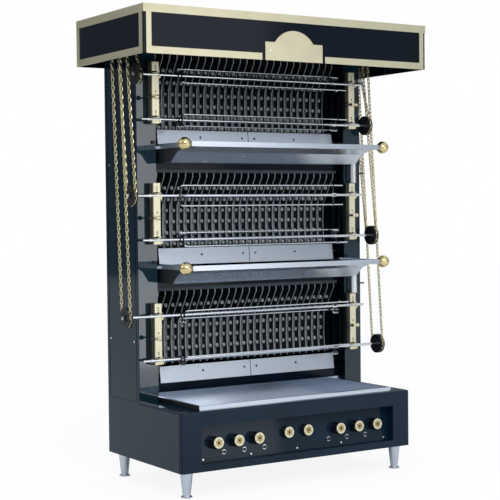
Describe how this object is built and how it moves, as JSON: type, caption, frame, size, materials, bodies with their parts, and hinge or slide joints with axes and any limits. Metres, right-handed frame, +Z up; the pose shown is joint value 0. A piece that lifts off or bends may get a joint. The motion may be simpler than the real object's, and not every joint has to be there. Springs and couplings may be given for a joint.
{
  "type": "chicken rotisserie",
  "caption": "Tall gas wall rotisserie: chain driven spits in stacked tiers before finned radiants, sliding drip trays, a bottom pan and a brass trimmed hood.",
  "frame": {"origin": "floor level under the middle of the cabinet", "axes": "+X right seen from the front, +Y to the back wall, +Z up"},
  "size_m": [1.376, 0.62, 1.902],
  "materials": {
    "enamel": "glossy dark blue-black enamel",
    "black_metal": "satin black",
    "stainless": "satin",
    "bright_steel": "polished",
    "trim_brass": "satin",
    "bracket_brass": "satin",
    "polished_brass": "polished",
    "chain_brass": "satin",
    "radiant_iron": "rough as cast",
    "knob_black": "gloss",
    "pipe_brass": "satin"
  },
  "bodies": {
    "cabinet": {"base_cabinet": "enamel", "control_panel": "enamel", "left_upright": "enamel", "right_upright": "enamel", "back_panel": "enamel", "hood_casing": "enamel", "bracket_blocks": "black_metal", "tray_runners": "black_metal", "gear_motors": "black_metal", "legs": "stainless", "burners": "stainless", "catch_barrels": "bright_steel", "igniter_bezels": "bright_steel", "screws": "bright_steel", "hood_trim": "trim_brass", "badge": "trim_brass", "spit_brackets": "bracket_brass", "drive_chains": "chain_brass", "radiant_castings": "radiant_iron", "gas_pipework": "pipe_brass", "lock_pins": "knob_black"},
    "spit_1": {"spit_shaft_1": "bright_steel", "spit_wheel_1": "black_metal", "spit_fork_1": "bright_steel"},
    "spit_2": {"spit_shaft_2": "bright_steel", "spit_wheel_2": "black_metal", "spit_fork_2": "bright_steel"},
    "spit_3": {"spit_shaft_3": "bright_steel", "spit_wheel_3": "black_metal", "spit_fork_3": "bright_steel"},
    "spit_4": {"spit_shaft_4": "bright_steel", "spit_wheel_4": "black_metal", "spit_fork_4": "bright_steel"},
    "spit_5": {"spit_shaft_5": "bright_steel", "spit_wheel_5": "black_metal", "spit_fork_5": "bright_steel"},
    "spit_6": {"spit_shaft_6": "bright_steel", "spit_wheel_6": "black_metal", "spit_fork_6": "bright_steel"},
    "left_drive": {"left_drive_shaft": "black_metal"},
    "right_drive": {"right_drive_shaft": "black_metal"},
    "tray_middle": {"drip_tray_middle": "stainless", "tray_knobs_middle": "polished_brass"},
    "tray_upper": {"drip_tray_upper": "stainless", "tray_knobs_upper": "polished_brass"},
    "pan": {"bottom_pan": "stainless"},
    "knob_1": {"control_knob_1": "knob_black"},
    "knob_2": {"control_knob_2": "knob_black"},
    "knob_3": {"control_knob_3": "knob_black"},
    "knob_4": {"control_knob_4": "knob_black"},
    "knob_5": {"control_knob_5": "knob_black"},
    "knob_6": {"control_knob_6": "knob_black"},
    "knob_7": {"control_knob_7": "knob_black"},
    "knob_8": {"control_knob_8": "knob_black"},
    "button_1": {"igniter_button_1": "bright_steel"},
    "button_2": {"igniter_button_2": "bright_steel"},
    "button_3": {"igniter_button_3": "bright_steel"},
    "button_4": {"igniter_button_4": "bright_steel"},
    "button_5": {"igniter_button_5": "bright_steel"},
    "button_6": {"igniter_button_6": "bright_steel"}
  },
  "joints": [
    {"name": "right_drive_spin", "type": "hinge", "parent": "cabinet", "child": "right_drive", "pos_m": [0.6, 0.094, 1.768], "axis": [1, 0, 0], "continuous": true},
    {"name": "left_drive_spin", "type": "hinge", "parent": "cabinet", "child": "left_drive", "pos_m": [-0.6, 0.064, 1.768], "axis": [1, 0, 0], "continuous": true},
    {"name": "spit_1_spin", "type": "hinge", "parent": "cabinet", "child": "spit_1", "pos_m": [0, 0, 0.509], "axis": [1, 0, 0], "continuous": true},
    {"name": "spit_2_spin", "type": "hinge", "parent": "cabinet", "child": "spit_2", "pos_m": [0, 0, 0.689], "axis": [1, 0, 0], "continuous": true},
    {"name": "spit_3_spin", "type": "hinge", "parent": "cabinet", "child": "spit_3", "pos_m": [0, 0, 0.997], "axis": [1, 0, 0], "continuous": true},
    {"name": "spit_4_spin", "type": "hinge", "parent": "cabinet", "child": "spit_4", "pos_m": [0, 0, 1.177], "axis": [1, 0, 0], "continuous": true},
    {"name": "spit_5_spin", "type": "hinge", "parent": "cabinet", "child": "spit_5", "pos_m": [0, 0, 1.485], "axis": [1, 0, 0], "continuous": true},
    {"name": "spit_6_spin", "type": "hinge", "parent": "cabinet", "child": "spit_6", "pos_m": [0, 0, 1.665], "axis": [1, 0, 0], "continuous": true},
    {"name": "tray_middle_slide", "type": "slide", "parent": "cabinet", "child": "tray_middle", "axis": [0, -1, 0], "range_m": [0, 0.22]},
    {"name": "tray_upper_slide", "type": "slide", "parent": "cabinet", "child": "tray_upper", "axis": [0, -1, 0], "range_m": [0, 0.22]},
    {"name": "pan_lift", "type": "slide", "parent": "cabinet", "child": "pan", "axis": [0, 0, 1], "range_m": [0, 0.03]},
    {"name": "knob_1_turn", "type": "hinge", "parent": "cabinet", "child": "knob_1", "pos_m": [-0.3916, -0.2685, 0.204], "axis": [0, -0.9962, 0.0875], "range_deg": [0, 210]},
    {"name": "knob_2_turn", "type": "hinge", "parent": "cabinet", "child": "knob_2", "pos_m": [-0.2963, -0.2685, 0.204], "axis": [0, -0.9962, 0.0875], "range_deg": [0, 210]},
    {"name": "knob_3_turn", "type": "hinge", "parent": "cabinet", "child": "knob_3", "pos_m": [-0.201, -0.2685, 0.204], "axis": [0, -0.9962, 0.0875], "range_deg": [0, 210]},
    {"name": "knob_4_turn", "type": "hinge", "parent": "cabinet", "child": "knob_4", "pos_m": [-0.0475, -0.26789, 0.211], "axis": [0, -0.9962, 0.0875], "range_deg": [0, 90]},
    {"name": "knob_5_turn", "type": "hinge", "parent": "cabinet", "child": "knob_5", "pos_m": [0.0475, -0.26789, 0.211], "axis": [0, -0.9962, 0.0875], "range_deg": [0, 90]},
    {"name": "knob_6_turn", "type": "hinge", "parent": "cabinet", "child": "knob_6", "pos_m": [0.201, -0.2685, 0.204], "axis": [0, -0.9962, 0.0875], "range_deg": [0, 210]},
    {"name": "knob_7_turn", "type": "hinge", "parent": "cabinet", "child": "knob_7", "pos_m": [0.2963, -0.2685, 0.204], "axis": [0, -0.9962, 0.0875], "range_deg": [0, 210]},
    {"name": "knob_8_turn", "type": "hinge", "parent": "cabinet", "child": "knob_8", "pos_m": [0.3916, -0.2685, 0.204], "axis": [0, -0.9962, 0.0875], "range_deg": [0, 210]},
    {"name": "button_1_push", "type": "slide", "parent": "cabinet", "child": "button_1", "axis": [0, 0.9962, -0.0875], "range_m": [0, 0.004], "stiffness_N_per_m": 500},
    {"name": "button_2_push", "type": "slide", "parent": "cabinet", "child": "button_2", "axis": [0, 0.9962, -0.0875], "range_m": [0, 0.004], "stiffness_N_per_m": 500},
    {"name": "button_3_push", "type": "slide", "parent": "cabinet", "child": "button_3", "axis": [0, 0.9962, -0.0875], "range_m": [0, 0.004], "stiffness_N_per_m": 500},
    {"name": "button_4_push", "type": "slide", "parent": "cabinet", "child": "button_4", "axis": [0, 0.9962, -0.0875], "range_m": [0, 0.004], "stiffness_N_per_m": 500},
    {"name": "button_5_push", "type": "slide", "parent": "cabinet", "child": "button_5", "axis": [0, 0.9962, -0.0875], "range_m": [0, 0.004], "stiffness_N_per_m": 500},
    {"name": "button_6_push", "type": "slide", "parent": "cabinet", "child": "button_6", "axis": [0, 0.9962, -0.0875], "range_m": [0, 0.004], "stiffness_N_per_m": 500}
  ],
  "couplings": [
    {"joint": "spit_1_spin", "follows": "right_drive_spin", "ratio": 1},
    {"joint": "spit_2_spin", "follows": "left_drive_spin", "ratio": 1},
    {"joint": "spit_3_spin", "follows": "right_drive_spin", "ratio": 1},
    {"joint": "spit_4_spin", "follows": "left_drive_spin", "ratio": 1},
    {"joint": "spit_5_spin", "follows": "right_drive_spin", "ratio": 1},
    {"joint": "spit_6_spin", "follows": "left_drive_spin", "ratio": 1}
  ]
}
